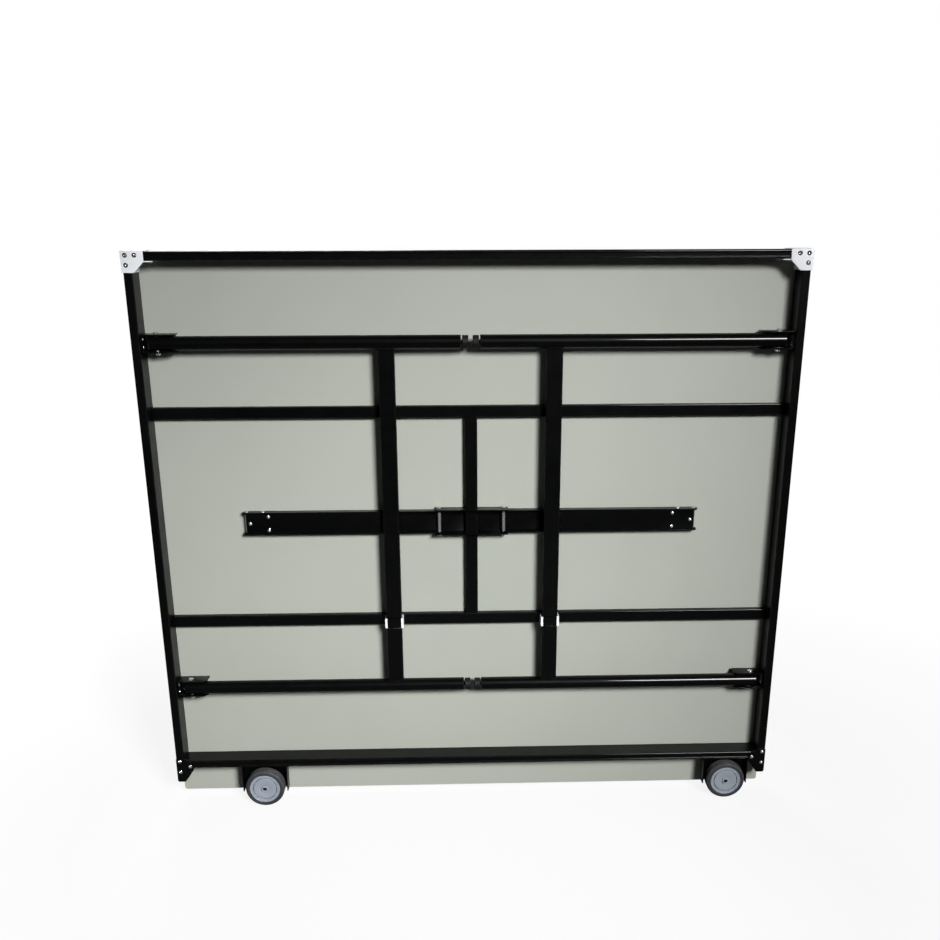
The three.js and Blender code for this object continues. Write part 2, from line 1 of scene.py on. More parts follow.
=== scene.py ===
import json
import bmesh
import bpy
import numpy as np
from mathutils import Matrix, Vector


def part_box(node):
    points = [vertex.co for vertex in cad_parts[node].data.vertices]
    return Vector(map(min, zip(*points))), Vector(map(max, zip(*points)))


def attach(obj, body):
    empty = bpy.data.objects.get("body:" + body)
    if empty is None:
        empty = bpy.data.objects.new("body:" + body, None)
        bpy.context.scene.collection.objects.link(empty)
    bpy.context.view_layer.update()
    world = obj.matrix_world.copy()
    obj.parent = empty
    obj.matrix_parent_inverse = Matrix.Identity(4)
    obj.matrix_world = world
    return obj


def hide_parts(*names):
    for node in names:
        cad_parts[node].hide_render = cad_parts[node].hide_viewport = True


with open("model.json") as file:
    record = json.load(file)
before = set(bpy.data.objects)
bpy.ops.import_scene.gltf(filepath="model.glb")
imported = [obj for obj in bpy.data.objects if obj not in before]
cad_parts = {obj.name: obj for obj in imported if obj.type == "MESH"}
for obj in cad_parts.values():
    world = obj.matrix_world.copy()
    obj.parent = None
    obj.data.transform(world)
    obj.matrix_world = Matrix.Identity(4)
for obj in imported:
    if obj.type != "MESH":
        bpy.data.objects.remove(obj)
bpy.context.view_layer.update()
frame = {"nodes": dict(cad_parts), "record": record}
print("frame loaded:", len(frame["nodes"]), "nodes")

mm = 0.001
hands = {"left": -1, "right": 1}
levels = ("upper", "lower")
bodies = frame["record"]["behaviour"]["bodies"]
bodyOf = {node: body for body, members in bodies.items() for node in members}
slotOf = {part["node"]: part["material_slot"] for part in frame["record"]["subparts"]}


def boxOf(node):   # lowest and highest corner of a node, in millimetres
    low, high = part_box(node)
    return np.array(low) / mm, np.array(high) / mm


# Camera: stands in front of the underside, a little above the board's top edge, looking down
view = {
    "place": (-0.0402, -2.2648, 1.4344),
    "pitch": 17.505,   # degrees below level
    "turn": 1.598,     # degrees towards +X
    "roll": -0.155,
    "lens": 37.34,
    "sensor": 36,
    "shift": (-0.0117, 0.0700),
}


def placed(place, right, up, back):   # a 4x4 matrix from a place and three axes
    turned = np.eye(4)
    turned[:3, :] = np.column_stack([right, up, back, place])
    return Matrix(turned.tolist())


def makeCamera(v):
    pitch, turn, roll = np.radians([v["pitch"], v["turn"], v["roll"]])
    ahead = np.array([np.sin(turn) * np.cos(pitch), np.cos(turn) * np.cos(pitch), -np.sin(pitch)])
    right = np.array([np.cos(turn), -np.sin(turn), 0.0])
    up = np.cross(right, ahead)
    rolledRight = np.cos(roll) * right + np.sin(roll) * up
    rolledUp = np.cos(roll) * up - np.sin(roll) * right
    data = bpy.data.cameras.new("camera")
    data.lens = v["lens"]
    data.sensor_width = v["sensor"]
    data.shift_x, data.shift_y = v["shift"]
    camera = bpy.data.objects.new("camera", data)
    camera.matrix_world = placed(v["place"], rolledRight, rolledUp, -ahead)
    bpy.context.scene.collection.objects.link(camera)
    bpy.context.scene.camera = camera


# Light: one soft box from the upper right with a narrow beam, and weak ones that only open the shadows
lamps = {
    "key": {
        "place": (1.75, -4.0, 2.95), "aim": (-0.42, 0.0, 0.18),
        "size": (1.2, 1.1), "power": 35.0, "beam": 48,
    },
    "fill": {
        "place": (-2.6, -3.4, 1.2), "aim": (0.0, 0.0, 0.6),
        "size": (2.6, 2.2), "power": 1.2, "beam": 180,
    },
    "behind": {
        "place": (-1.4, 3.6, 2.9), "aim": (0.0, 0.0, 0.7),
        "size": (2.4, 2.0), "power": 110, "beam": 180,
    },
}
sky = {"seen": (1.0, 1.0, 1.0, 1), "lit": (0.96, 0.98, 1.0, 1), "strength": 0.022}


def makeLights():
    for name, s in lamps.items():
        data = bpy.data.lights.new(name, "AREA")
        data.shape = "RECTANGLE"
        data.size, data.size_y = s["size"]
        data.energy = s["power"]
        data.spread = np.radians(s["beam"])
        back = np.array(s["place"]) - np.array(s["aim"])
        back /= np.linalg.norm(back)
        right = np.cross((0.0, 0.0, 1.0), back)
        right /= np.linalg.norm(right)
        lamp = bpy.data.objects.new(name, data)
        lamp.matrix_world = placed(s["place"], right, np.cross(back, right), back)
        bpy.context.scene.collection.objects.link(lamp)
    world = bpy.data.worlds.new("sky")
    world.use_nodes = True
    nodes, links = world.node_tree.nodes, world.node_tree.links
    nodes.clear()
    out = nodes.new("ShaderNodeOutputWorld")
    seen = nodes.new("ShaderNodeBackground")
    seen.inputs["Color"].default_value = sky["seen"]
    lit = nodes.new("ShaderNodeBackground")
    lit.inputs["Color"].default_value = sky["lit"]
    lit.inputs["Strength"].default_value = sky["strength"]
    ray = nodes.new("ShaderNodeLightPath")
    mix = nodes.new("ShaderNodeMixShader")
    links.new(ray.outputs["Is Camera Ray"], mix.inputs["Fac"])
    links.new(lit.outputs["Background"], mix.inputs[1])
    links.new(seen.outputs["Background"], mix.inputs[2])
    links.new(mix.outputs["Shader"], out.inputs["Surface"])
    bpy.context.scene.world = world
    bpy.context.scene.view_settings.view_transform = "Standard"


makeCamera(view)
makeLights()
print("camera and lights set")


# Materials. Each helper adds one node and gives back its output
def startMaterial(name):
    material = bpy.data.materials.new(name)
    material.use_nodes = True
    return material


def nodeIn(material, kind, **inputs):
    node = material.node_tree.nodes.new("ShaderNode" + kind)
    for key, value in inputs.items():
        node.inputs[key].default_value = value
    return node


def join(material, source, target):
    material.node_tree.links.new(source, target)


def feed(material, socket, value):   # links a socket, or sets its own value
    if isinstance(value, bpy.types.NodeSocket):
        join(material, value, socket)
    else:
        socket.default_value = (*value, 1) if isinstance(value, tuple) else value


def noise(material, scale, detail=3.0, rough=0.5, stretch=(1, 1, 1)):
    coords = nodeIn(material, "TexCoord")
    mapping = nodeIn(material, "Mapping", Scale=stretch)
    join(material, coords.outputs["Object"], mapping.inputs["Vector"])
    node = nodeIn(material, "TexNoise", Scale=scale, Detail=detail, Roughness=rough)
    join(material, mapping.outputs["Vector"], node.inputs["Vector"])
    return node.outputs["Fac"]


def place(material, axis):   # one coordinate of the point, in metres
    coords = nodeIn(material, "TexCoord")
    split = nodeIn(material, "SeparateXYZ")
    join(material, coords.outputs["Object"], split.inputs["Vector"])
    return split.outputs[axis]


def span(material, value, fromLow, fromHigh, toLow=0.0, toHigh=1.0):
    node = nodeIn(material, "MapRange")
    for key, amount in (("From Min", fromLow), ("From Max", fromHigh), ("To Min", toLow), ("To Max", toHigh)):
        node.inputs[key].default_value = amount
    join(material, value, node.inputs["Value"])
    return node.outputs["Result"]


def maths(material, operation, a, b=0.0):
    node = nodeIn(material, "Math")
    node.operation = operation
    feed(material, node.inputs[0], a)
    feed(material, node.inputs[1], b)
    return node.outputs[0]


def blend(material, factor, a, b):
    node = nodeIn(material, "Mix")
    node.data_type = "RGBA"
    feed(material, node.inputs[0], factor)
    feed(material, node.inputs[6], a)
    feed(material, node.inputs[7], b)
    return node.outputs[2]


def bump(material, height, distance, strength=1.0, after=None):
    node = nodeIn(material, "Bump", Strength=strength, Distance=distance)
    join(material, height, node.inputs["Height"])
    if after:
        join(material, after, node.inputs["Normal"])
    return node.outputs["Normal"]


def edgeWear(material):   # the pieces' own attribute: 1 along softened edges, 0 on flats
    node = nodeIn(material, "Attribute")
    node.attribute_name = "edge"
    return node.outputs["Fac"]


def finishMaterial(material, colour, roughness, normal, **uniform):
    sockets = material.node_tree.nodes["Principled BSDF"].inputs
    feed(material, sockets["Base Color"], colour)
    feed(material, sockets["Roughness"], roughness)
    feed(material, sockets["Normal"], normal)
    for key, value in uniform.items():
        sockets[key].default_value = value
    return material


boardFinish = {
    "underside": ((0.325, 0.342, 0.303), (0.375, 0.392, 0.349)),
    "play": ((0.012, 0.055, 0.20), (0.017, 0.07, 0.24)),
    "line": (0.80, 0.82, 0.82),
    "edgeLine": 20,     # width of the lines along the sides and the player's end
    "middleLine": 3,
    "soft": 0.4,        # how far a line's edge blurs
    "stain": (0.25, 0.256, 0.22),
    "scuff": (0.5, 0.53, 0.56),
    "seam": (1.2, 1.6),     # from the underside, where its colour gives way to the playing side's
    "roughness": (0.46, 0.60),
    "stipple": (900.0, 0.00006),    # a noise's scale, and its height in metres
    "ripple": (140.0, 0.00007),
}


def paintedBoard(s):   # a pale painted underside, and a coloured playing side with white lines
    m = startMaterial("painted_board")
    low, high = boxOf("playing_board")
    x, y, z = place(m, "X"), place(m, "Y"), place(m, "Z")
    under = blend(m, noise(m, 2.2, 5.0, 0.55), s["underside"][0], s["underside"][1])
    stain = span(m, noise(m, 9.0, 6.0, 0.6, (1, 1, 0.5)), 0.55, 0.85, 0.0, 0.10)
    under = blend(m, stain, under, s["stain"])
    top = blend(m, noise(m, 3.0, 4.0), s["play"][0], s["play"][1])
    soft = s["soft"] * mm

    def lineUpTo(distance, width):
        return span(m, distance, (width * mm) - soft, (width * mm) + soft, 1.0, 0.0)

    fromSide = maths(m, "SUBTRACT", high[0] * mm, maths(m, "ABSOLUTE", x))
    fromEnd = maths(m, "SUBTRACT", high[2] * mm, z)
    sides = lineUpTo(fromSide, s["edgeLine"])
    end = lineUpTo(fromEnd, s["edgeLine"])
    middle = lineUpTo(maths(m, "ABSOLUTE", x), s["middleLine"] / 2)
    lines = maths(m, "MAXIMUM", maths(m, "MAXIMUM", sides, end), middle)
    top = blend(m, lines, top, s["line"])
    scuff = span(m, noise(m, 260.0, 2.0, 0.5, (0.05, 1, 1)), 0.70, 0.80, 0.0, 0.05)
    top = blend(m, scuff, top, s["scuff"])
    playing = span(m, y, *[(low[1] + depth) * mm for depth in s["seam"]])
    colour = blend(m, playing, under, top)
    stipple = bump(m, noise(m, s["stipple"][0], 2.0), s["stipple"][1], 0.5)
    normal = bump(m, noise(m, s["ripple"][0], 2.0), s["ripple"][1], 0.5, stipple)
    return finishMaterial(m, colour, span(m, noise(m, 30.0), 0.3, 0.7, *s["roughness"]), normal)


blackFinish = {
    "colour": ((0.0008, 0.0010, 0.0009), (0.0016, 0.0019, 0.0017)),
    "worn": (0.012, 0.012, 0.013),
    "dust": (0.006, 0.006, 0.0055),
    "roughness": (0.34, 0.46),
    "peel": (420.0, 0.000008),
    "grain": (1900.0, 0.000005),
    "gloss": {"Specular IOR Level": 0.05, "Coat Weight": 0.27, "Coat Roughness": 0.05},
}


def powderCoat(s):   # black paint baked on steel: orange peel, faint dust, rubbed edges
    m = startMaterial("black_powder_coat")
    colour = blend(m, noise(m, 14.0, 4.0), s["colour"][0], s["colour"][1])
    dust = span(m, noise(m, 45.0, 7.0, 0.65), 0.56, 0.86, 0.0, 0.16)
    colour = blend(m, dust, colour, s["dust"])
    rub = maths(m, "MULTIPLY", edgeWear(m), span(m, noise(m, 60.0, 5.0, 0.7), 0.42, 0.68, 0.0, 0.5))
    colour = blend(m, rub, colour, s["worn"])
    rough = span(m, noise(m, 25.0, 4.0), 0.3, 0.7, *s["roughness"])
    peel = bump(m, noise(m, s["peel"][0], 2.0), s["peel"][1], 0.45)
    normal = bump(m, noise(m, s["grain"][0], 1.0), s["grain"][1], 0.4, peel)
    return finishMaterial(m, colour, rough, normal, **s["gloss"])


zincFinish = {
    "colour": ((0.62, 0.64, 0.66), (0.78, 0.79, 0.80)),
    "tint": (0.70, 0.68, 0.58),
    "roughness": (0.15, 0.28),
    "metal": 0.85,
    "grain": (1400.0, 0.00002),
}


def zincPlate(s):   # bright zinc with a faint warm bloom and fine tool marks
    m = startMaterial("zinc_plate")
    colour = blend(m, noise(m, 160.0, 4.0), s["colour"][0], s["colour"][1])
    colour = blend(m, span(m, noise(m, 70.0, 3.0), 0.5, 0.8, 0.0, 0.35), colour, s["tint"])
    rough = span(m, noise(m, 320.0, 3.0), 0.3, 0.7, *s["roughness"])
    normal = bump(m, noise(m, s["grain"][0], 2.0), s["grain"][1], 0.5)
    return finishMaterial(m, colour, rough, normal, Metallic=s["metal"])


plastics = {
    "white_plastic": {"colour": ((0.80, 0.82, 0.85), (0.86, 0.88, 0.90)), "dust": (0.62, 0.62, 0.60),
                      "roughness": (0.36, 0.50), "grain": 700, "shine": 0.5},
    "black_plastic": {"colour": ((0.006, 0.006, 0.006), (0.010, 0.010, 0.010)), "dust": (0.03, 0.03, 0.028),
                      "roughness": (0.46, 0.62), "grain": 900, "shine": 0.15},
    "grey_plastic": {"colour": ((0.225, 0.255, 0.30), (0.275, 0.305, 0.35)), "dust": (0.36, 0.36, 0.36),
                     "roughness": (0.38, 0.55), "grain": 800, "shine": 0.5},
}


def mouldedPlastic(name, s):   # moulded plastic: a fine spark-eroded grain and a little dust
    m = startMaterial(name)
    colour = blend(m, noise(m, 28.0, 3.0), s["colour"][0], s["colour"][1])
    colour = blend(m, span(m, noise(m, 90.0, 6.0, 0.6), 0.58, 0.85, 0.0, 0.30), colour, s["dust"])
    rough = span(m, noise(m, 60.0, 3.0), 0.3, 0.7, *s["roughness"])
    flow = bump(m, noise(m, 60.0, 2.0), 0.00012, 0.3)
    normal = bump(m, noise(m, s["grain"], 2.0), 0.00005, 0.5, flow)
    return finishMaterial(m, colour, rough, normal, **{"Specular IOR Level": s["shine"]})


rubberFinish = {
    "colour": ((0.020, 0.022, 0.027), (0.034, 0.036, 0.043)),
    "dust": (0.13, 0.125, 0.115),
    "roughness": (0.58, 0.80),
    "shine": 0.35,
    "grain": (1100.0, 0.00012),
}


def tyreRubber(s):   # dark rubber, dustier where it rolls on the floor
    m = startMaterial("tyre_rubber")
    colour = blend(m, noise(m, 50.0, 4.0), s["colour"][0], s["colour"][1])
    grime = maths(m, "MULTIPLY", edgeWear(m), span(m, noise(m, 110.0, 6.0, 0.65), 0.38, 0.75, 0.05, 0.6))
    colour = blend(m, grime, colour, s["dust"])
    rough = span(m, noise(m, 90.0, 3.0), 0.3, 0.7, *s["roughness"])
    normal = bump(m, noise(m, s["grain"][0], 3.0), s["grain"][1], 0.5)
    return finishMaterial(m, colour, rough, normal, **{"Specular IOR Level": s["shine"]})


finishes = {name: mouldedPlastic(name, s) for name, s in plastics.items()}
finishes["board_paint"] = paintedBoard(boardFinish)
finishes["black_steel"] = powderCoat(blackFinish)
finishes["zinc"] = zincPlate(zincFinish)
finishes["tyre_rubber"] = tyreRubber(rubberFinish)
for name, node in frame["nodes"].items():
    for holder in node.material_slots:
        holder.material = finishes[slotOf[name]]
print("materials made:", len(finishes))


# Surfaces. All lengths are in millimetres until a piece is made
def roundedOutline(corners, radii, steps=4, ease=0.3):
    # At each corner an arc joins the two sides: its middle lies on the bisector, radius / sin(half the
    # angle) from the corner, and its points turn evenly between the tangent points (a slerp). One more
    # point stands just past each tangent, so that the flats stay flat when shaded.
    c = np.asarray(corners, float)
    r = np.broadcast_to(np.asarray(radii, float), (len(c),))[:, None]
    last = np.roll(c, 1, 0) - c
    after = np.roll(c, -1, 0) - c
    last /= np.linalg.norm(last, axis=1, keepdims=True)
    after /= np.linalg.norm(after, axis=1, keepdims=True)
    half = 0.5 * np.arccos(np.clip((last * after).sum(1, keepdims=True), -1, 1))
    bisector = (last + after) / np.linalg.norm(last + after, axis=1, keepdims=True)
    run = r / np.tan(half)
    middle = c + bisector * r / np.sin(half)
    start = c + last * run - middle
    end = c + after * run - middle
    turn = (np.pi - 2 * half)[:, None]
    t = np.linspace(0, 1, steps + 1)[None, :, None]
    arc = (np.sin((1 - t) * turn) * start[:, None] + np.sin(t * turn) * end[:, None]) / np.sin(turn)
    points = np.concatenate([(c + last * (run + ease))[:, None], middle[:, None] + arc,
                             (c + after * (run + ease))[:, None]], 1)
    worn = np.ones(points.shape[:2])
    worn[:, [0, -1]] = 0
    return points.reshape(-1, 2), worn.ravel()


def boxCorners(width, height, middle=(0, 0)):
    half = np.array([[-1, -1], [1, -1], [1, 1], [-1, 1]]) / 2
    return half * (width, height) + middle


def offsetOutline(outline, amount):
    # Every point moves along the mean of its two sides' normals, inwards for a positive amount
    ahead = np.roll(outline, -1, 0) - outline
    area = (outline[:, 0] * np.roll(outline[:, 1], -1) - outline[:, 1] * np.roll(outline[:, 0], -1)).sum()
    normal = np.column_stack([ahead[:, 1], -ahead[:, 0]]) * np.sign(area)
    normal /= np.linalg.norm(normal, axis=1, keepdims=True)
    mean = normal + np.roll(normal, 1, 0)
    mean /= np.linalg.norm(mean, axis=1, keepdims=True)
    return outline - mean * amount


axes = {"x": (2, 1, 0), "y": (0, 2, 1), "z": (0, 1, 2)}   # where the section's two sizes and its run go


def along(axis, section, run):
    # A section's points at one place of its run: the section lies across the axis
    points = np.empty((len(section), 3))
    first, second, third = axes[axis]
    points[:, first] = section[:, 0]
    points[:, second] = section[:, 1]
    points[:, third] = run
    return points


def shellOf(grid, closed=False, worn=None):
    # A grid of points, rings by points round a ring, as one closed shell: each four neighbours make a
    # face, the rings close on themselves, and the two ends get one flat face each unless the run
    # closes too. A negative volume means that the faces look inwards, so they are turned over.
    rings, count = grid.shape[:2]
    points = grid.reshape(-1, 3)
    index = np.arange(rings * count).reshape(rings, count)
    nextRing = np.roll(index, -1, 0)
    here, there = (index, nextRing) if closed else (index[:-1], nextRing[:-1])
    quads = np.stack([here, np.roll(here, -1, 1), np.roll(there, -1, 1), there], -1).reshape(-1, 4)
    caps = [] if closed else [index[0][::-1], index[-1]]
    middle = points.mean(0)
    p = points - middle
    volume = (p[quads[:, 0]] * np.cross(p[quads[:, 1]], p[quads[:, 2]])).sum()
    volume += (p[quads[:, 0]] * np.cross(p[quads[:, 2]], p[quads[:, 3]])).sum()
    for cap in caps:
        volume += (p[cap[0]] * np.cross(p[cap[1:-1]], p[cap[2:]])).sum()
    if volume < 0:
        quads = quads[:, ::-1]
        caps = [cap[::-1] for cap in caps]
    worn = np.zeros(len(points)) if worn is None else np.broadcast_to(worn, (rings, count)).ravel()
    return points, quads.tolist() + [cap.tolist() for cap in caps], worn


def bar(axis, outline, worn, low, high, soft=0.6, steps=2, ease=0.3):
    # A section carried along an axis with softened ends: at an end the section shrinks by
    # soft * (1 - sin t) while it moves in by soft * (1 - cos t), t going from 0 to a quarter turn.
    # One more ring lies in the end's own plane, and one past the rounding, so that flats stay flat.
    t = np.linspace(0, np.pi / 2, steps + 1)
    inset = np.concatenate([[soft + ease], soft * (1 - np.sin(t)), [0]])
    run = np.concatenate([[0], soft * (1 - np.cos(t)), [soft + ease]])
    insets = np.concatenate([inset, inset[::-1]])
    runs = np.concatenate([low + run, high - run[::-1]])
    rings = [along(axis, offsetOutline(outline, a), b) for a, b in zip(insets, runs)]
    marks = np.maximum(worn[None, :], (insets > 0)[:, None])
    marks[[0, -1]] = 0
    return shellOf(np.array(rings), worn=marks)


def pipe(axis, outer, inner, worn, low, high, soft=0.4):
    # A hollow section: out along the outside, over the rim, and back along the inside
    stops = [(outer, 0, low + soft), (outer, 0, high - soft), (outer, soft, high), (inner, -soft, high),
             (inner, 0, high - soft), (inner, 0, low + soft), (inner, -soft, low), (outer, soft, low)]
    rings = [along(axis, offsetOutline(section, inset), run) for section, inset, run in stops]
    marks = np.maximum(worn[None, :], np.array([0, 0, 1, 1, 0, 0, 1, 1])[:, None])
    return shellOf(np.array(rings), True, marks)


def turned(axis, middle, profile, sides=48, closed=False, worn=None, sign=1, thread=None, flutes=None):
    # A profile of (radius, height) turned about an axis: the point at angle a is radius * (cos a, sin a)
    # across the axis and height along it. A third column cuts the ring to a hexagon of that half width:
    # the radius is at most flat / cos(angle from the middle of the flat). A thread takes away depth times
    # a triangle wave of height / pitch + angle / turn, and flutes take away depth times a cosine wave.
    columns = np.asarray(profile, float).T[:, :, None]
    angle = np.arange(sides) / sides * 2 * np.pi
    radius = columns[0] * np.ones(sides)
    height = columns[1]
    if len(columns) > 2:
        flat = np.where(columns[2] > 0, columns[2], np.inf)
        radius = np.minimum(radius, flat / np.cos((angle % (np.pi / 3)) - np.pi / 6))
    if thread:
        turns = height / thread["pitch"] + angle / (2 * np.pi)
        inside = (height > thread["from"]) & (height < thread["to"])
        radius = radius - inside * thread["depth"] * np.abs(2 * (turns % 1) - 1)
    if flutes:
        inside = (height > flutes["from"]) & (height < flutes["to"])
        radius = radius - inside * flutes["depth"] * (0.5 - 0.5 * np.cos(flutes["count"] * angle))
    grid = np.empty((len(radius), sides, 3))
    first, second, third = axes[axis]
    grid[..., first] = radius * np.cos(angle)
    grid[..., second] = radius * np.sin(angle)
    grid[..., third] = height * sign
    marks = None if worn is None else np.asarray(worn, float)[:, None] * np.ones(sides)
    return shellOf(grid + np.asarray(middle, float), closed, marks)


def circle(middle, radius, sides=48):
    angle = np.arange(sides) / sides * 2 * np.pi
    return np.column_stack([np.cos(angle), np.sin(angle)]) * radius + middle


def arc(middle, radius, fromTurn, toTurn, steps):   # (radius, height) points of a quarter or half round
    turn = np.radians(np.linspace(fromTurn, toTurn, steps + 1))
    return [(middle[0] + radius * np.cos(t), middle[1] + radius * np.sin(t)) for t in turn]


def screwHead(axis, at, s, sign=-1, turn=35, slots=2):
    # A low dome, rim + rise * (1 - (r / radius)^2) high, less a cross or one slot. The cut is full depth
    # within its half width and fades over as much again, and it fades out towards its ends.
    sides, rings, centre = 32, 14, 0.03
    crossReach, slotReach = 0.62, 2
    angle = np.arange(sides) / sides * 2 * np.pi
    r = s["radius"] * np.linspace(1, centre, rings)[:, None]
    x = np.abs(r * np.cos(angle - np.radians(turn)))
    y = np.abs(r * np.sin(angle - np.radians(turn)))
    across = np.minimum(x, y) if slots == 2 else y
    reach = s["radius"] * (crossReach if slots == 2 else slotReach)
    cut = np.clip(2 - across / s["slot"], 0, 1) * np.clip(3 * (1 - np.maximum(x, y) / reach), 0, 1)
    height = s["rim"] + s["rise"] * (1 - (r / s["radius"]) ** 2) - s["deep"] * cut
    radius = np.concatenate([r[:1], r])
    height = np.concatenate([np.zeros((1, sides)), height])
    grid = np.empty((rings + 1, sides, 3))
    first, second, third = axes[axis]
    grid[..., first] = radius * np.cos(angle)
    grid[..., second] = radius * np.sin(angle)
    grid[..., third] = height * sign
    return shellOf(grid + np.asarray(at, float))


def rivet(axis, at, s, sign=1):   # a domed head with the small hole of a pulled rivet
    topTurn, rows, sides, taper = 1.25, 8, 24, 0.9
    dome = [(s["radius"] * np.cos(t), s["rise"] * np.sin(t)) for t in np.linspace(0, topTurn, rows)]
    hole = [(s["hole"], dome[-1][1]), (s["hole"] * taper, dome[-1][1] - s["holeDeep"])]
    return turned(axis, at, dome + hole, sides, sign=sign)


def resampled(path, count):   # points evenly spaced by length round a closed path
    closed = np.vstack([path, path[:1]])
    lengths = np.append(0, np.cumsum(np.linalg.norm(np.diff(closed, axis=0), axis=1)))
    stops = np.linspace(0, lengths[-1], count, endpoint=False)
    return np.column_stack([np.interp(stops, lengths, closed[:, k]) for k in range(3)])


def weldBead(path, outwards, s):
    # A small round section carried round a closed path, in the plane of the outward direction and the
    # cross product of the path's direction with it. Its radius swells once for every ripple.
    ahead = np.roll(path, -1, 0) - np.roll(path, 1, 0)
    ahead /= np.linalg.norm(ahead, axis=1, keepdims=True)
    aside = outwards - (outwards * ahead).sum(1, keepdims=True) * ahead
    aside /= np.linalg.norm(aside, axis=1, keepdims=True)
    other = np.cross(ahead, aside)
    step = np.linalg.norm(np.diff(path, axis=0), axis=1).mean()
    radius = s["radius"] * (1 + s["swell"] * np.sin(np.arange(len(path)) * step / s["ripple"] * 2 * np.pi))
    angle = np.arange(s["sides"]) / s["sides"] * 2 * np.pi
    around = np.cos(angle)[None, :, None] * aside[:, None] + np.sin(angle)[None, :, None] * other[:, None]
    return shellOf(path[:, None] + radius[:, None, None] * around, True)


def makePiece(name, shells, material, body, *nodes, slot=None, sharp=38):
    points = np.concatenate([s[0] for s in shells]) * mm
    starts = np.cumsum([0] + [len(s[0]) for s in shells])
    faces = [[i + start for i in face] for s, start in zip(shells, starts) for face in s[1]]
    mesh = bpy.data.meshes.new(name)
    mesh.from_pydata(points.tolist(), [], faces)
    worn = np.concatenate([s[2] for s in shells])
    mesh.attributes.new("edge", "FLOAT", "POINT").data.foreach_set("value", worn)
    mesh.polygons.foreach_set("use_smooth", np.ones(len(faces), bool))
    mesh.set_sharp_from_angle(angle=np.radians(sharp))
    mesh.materials.append(finishes[material])
    mesh.update()
    piece = bpy.data.objects.new(name, mesh)
    bpy.context.scene.collection.objects.link(piece)
    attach(piece, body)
    if nodes:
        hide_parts(*nodes)
    return piece


def standFor(node, name, shells, **options):   # a piece in a node's place, with its body and slot
    return makePiece(name, shells, slotOf[node], bodyOf[node], node, **options)


def softCopy(node, name, soft, steps=2):   # a folded or moulded piece: the solid with its edges rounded over
    mesh = frame["nodes"][node].data.copy()
    work = bmesh.new()
    work.from_mesh(mesh)
    bmesh.ops.remove_doubles(work, verts=work.verts, dist=1e-6)
    bmesh.ops.dissolve_limit(work, angle_limit=np.radians(0.5), verts=work.verts, edges=work.edges)
    work.to_mesh(mesh)
    work.free()
    mesh.polygons.foreach_set("use_smooth", np.ones(len(mesh.polygons), bool))
    mesh.name = name
    piece = bpy.data.objects.new(name, mesh)
    bpy.context.scene.collection.objects.link(piece)
    bevel = piece.modifiers.new("rounded edges", "BEVEL")
    bevel.width = soft * mm
    bevel.segments = steps
    bevel.limit_method = "ANGLE"
    bevel.angle_limit = np.radians(30)
    bevel.harden_normals = True
    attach(piece, bodyOf[node])
    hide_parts(node)
    return piece


# Board
board = {"corner": 6, "edge": 1.4}


def makeBoard(s):
    low, high = boxOf("playing_board")
    size = high - low
    middle = (low + high) / 2
    outline, worn = roundedOutline(boxCorners(size[0], size[2], middle[[0, 2]]), s["corner"], 8)
    slab = bar("y", outline, worn * 0, low[1], high[1], s["edge"], 4)
    standFor("playing_board", "painted_board", [slab])


makeBoard(board)
print("board made")

# Rails: rolled hollow sections. The end and net rails carry a groove along the face
rail = {"wall": 1.5, "bend": 2.5, "endSoft": 0.3, "groove": 8, "grooveDeep": 1.6, "grooveBend": 0.8}


def groovedCorners(low, high, s):   # corners of the grooved section, across (z, y), the groove in front
    z0, z1 = low[2], high[2]
    y0, y1 = low[1], high[1]
    middle, half, deep = (z0 + z1) / 2, s["groove"] / 2, s["grooveDeep"]
    corners = [(z0, y0), (middle - half - deep, y0), (middle - half, y0 + deep), (middle + half, y0 + deep),
               (middle + half + deep, y0), (z1, y0), (z1, y1), (z0, y1)]
    bends = [s["bend"], *[s["grooveBend"]] * 4, s["bend"], s["bend"], s["bend"]]
    return corners, bends


def makeRails(s):
    for node in ("end_rail", "net_rail"):
        low, high = boxOf(node)
        outline, worn = roundedOutline(*groovedCorners(low, high, s))
        standFor(node, node + "_rolled", [bar("x", outline, worn, low[0], high[0], s["endSoft"])])
    for hand in hands:
        node = hand + "_side_rail"
        low, high = boxOf(node)
        size, middle = high - low, (low + high) / 2
        outer, worn = roundedOutline(boxCorners(size[0], size[1], middle[:2]), s["bend"])
        innerSize = size[:2] - 2 * s["wall"]
        inner, _ = roundedOutline(boxCorners(*innerSize, middle[:2]), s["bend"] - s["wall"])
        standFor(node, node + "_rolled", [pipe("z", outer, inner, worn, low[2], high[2])])
    for node, axis in (("lower_cross_rail", "x"), ("upper_cross_rail", "x"), ("centre_spine", "z")):
        low, high = boxOf(node)
        first, second, third = axes[axis]
        size, middle = high - low, (low + high) / 2
        corners = boxCorners(size[first], size[second], (middle[first], middle[second]))
        outline, worn = roundedOutline(corners, s["bend"])
        solid = bar(axis, outline, worn, low[third], high[third], s["endSoft"])
        standFor(node, node + "_rolled", [solid])


makeRails(rail)
print("rails made")

